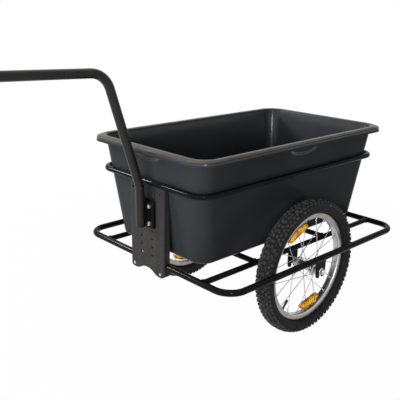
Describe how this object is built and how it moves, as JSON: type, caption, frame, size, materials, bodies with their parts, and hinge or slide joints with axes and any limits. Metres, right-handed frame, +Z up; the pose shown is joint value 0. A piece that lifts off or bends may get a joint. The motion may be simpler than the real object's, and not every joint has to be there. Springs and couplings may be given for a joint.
{
  "type": "cargo bike trailer",
  "caption": "Bicycle cargo trailer with a lift-out black tub in a bent tube chassis, spoked wheels, and a high drawbar that ends in a seat-post coupling.",
  "frame": {"origin": "on the ground, at the middle of the trailer's overall length and width", "axes": "+Z is up, -Y points forward to the bicycle, and +X is the trailer's left side"},
  "size_m": [0.644, 1.6366, 0.8007],
  "materials": {
    "black_paint": "gloss black powder coat",
    "sheet_paint": "satin dark grey-brown powder coat",
    "plated_steel": "zinc plated steel",
    "tyre_rubber": "matt black rubber",
    "rim_alloy": "satin aluminium",
    "spoke_steel": "bright plated wire",
    "valve_rubber": "black rubber",
    "amber_lens": "amber prismatic lens",
    "red_lens": "red prismatic lens",
    "tub_plastic": "satin black moulded polyethylene"
  },
  "bodies": {
    "chassis": {"base_loop": "black_paint", "inner_rail_left": "black_paint", "inner_rail_right": "black_paint", "cross_bar_front": "black_paint", "cross_bar_rear": "black_paint", "tub_ring": "black_paint", "front_plate": "sheet_paint", "rear_upright_left": "black_paint", "rear_upright_right": "black_paint", "rear_reflector_left": "red_lens", "rear_reflector_right": "red_lens", "axle_bracket_left_inner": "black_paint", "axle_bracket_left_outer": "black_paint", "axle_bracket_right_inner": "black_paint", "axle_bracket_right_outer": "black_paint", "drawbar": "black_paint", "drawbar_bracket": "black_paint", "drawbar_bolt_1": "plated_steel", "drawbar_bolt_2": "plated_steel", "drawbar_bolt_3": "plated_steel", "drawbar_bolt_4": "plated_steel", "axle_left": "plated_steel", "axle_right": "plated_steel", "axle_nut_left_outer": "plated_steel", "axle_nut_left_inner": "plated_steel", "axle_nut_right_outer": "plated_steel", "axle_nut_right_inner": "plated_steel", "hitch_spindle": "plated_steel"},
    "left_wheel": {"tyre_left": "tyre_rubber", "rim_left": "rim_alloy", "hub_left": "rim_alloy", "spokes_left_outer": "spoke_steel", "spokes_left_inner": "spoke_steel", "valve_left": "valve_rubber", "spoke_reflector_left_1": "amber_lens", "spoke_reflector_left_2": "amber_lens"},
    "right_wheel": {"tyre_right": "tyre_rubber", "rim_right": "rim_alloy", "hub_right": "rim_alloy", "spokes_right_outer": "spoke_steel", "spokes_right_inner": "spoke_steel", "valve_right": "valve_rubber", "spoke_reflector_right_1": "amber_lens", "spoke_reflector_right_2": "amber_lens"},
    "cargo_tub": {"tub": "tub_plastic"},
    "yoke": {"hitch_yoke": "black_paint", "hitch_pin": "plated_steel"},
    "knuckle": {"hitch_knuckle": "plated_steel", "swivel_pin": "plated_steel"},
    "seat_post_clamp": {"post_clamp": "black_paint", "post_clamp_cap": "black_paint", "clamp_bolt_left": "plated_steel", "clamp_bolt_right": "plated_steel"}
  },
  "joints": [
    {"name": "left_wheel_spin", "type": "hinge", "parent": "chassis", "child": "left_wheel", "pos_m": [0.2565, 0.42177, 0.1995], "axis": [1, 0, 0], "continuous": true},
    {"name": "right_wheel_spin", "type": "hinge", "parent": "chassis", "child": "right_wheel", "pos_m": [-0.2565, 0.42177, 0.1995], "axis": [1, 0, 0], "continuous": true},
    {"name": "tub_lift", "type": "slide", "parent": "chassis", "child": "cargo_tub", "axis": [0, 0, 1], "range_m": [0, 0.3]},
    {"name": "hitch_roll", "type": "hinge", "parent": "chassis", "child": "yoke", "pos_m": [0, -0.65744, 0.77522], "axis": [0, -0.9995, 0.0314], "range_deg": [-45, 45]},
    {"name": "hitch_pitch", "type": "hinge", "parent": "yoke", "child": "knuckle", "pos_m": [0, -0.71741, 0.7771], "axis": [1, 0, 0], "range_deg": [-40, 40]},
    {"name": "hitch_yaw", "type": "hinge", "parent": "knuckle", "child": "seat_post_clamp", "pos_m": [0, -0.7434, 0.77792], "axis": [0, 0.0314, 0.9995], "range_deg": [-75, 75]}
  ]
}
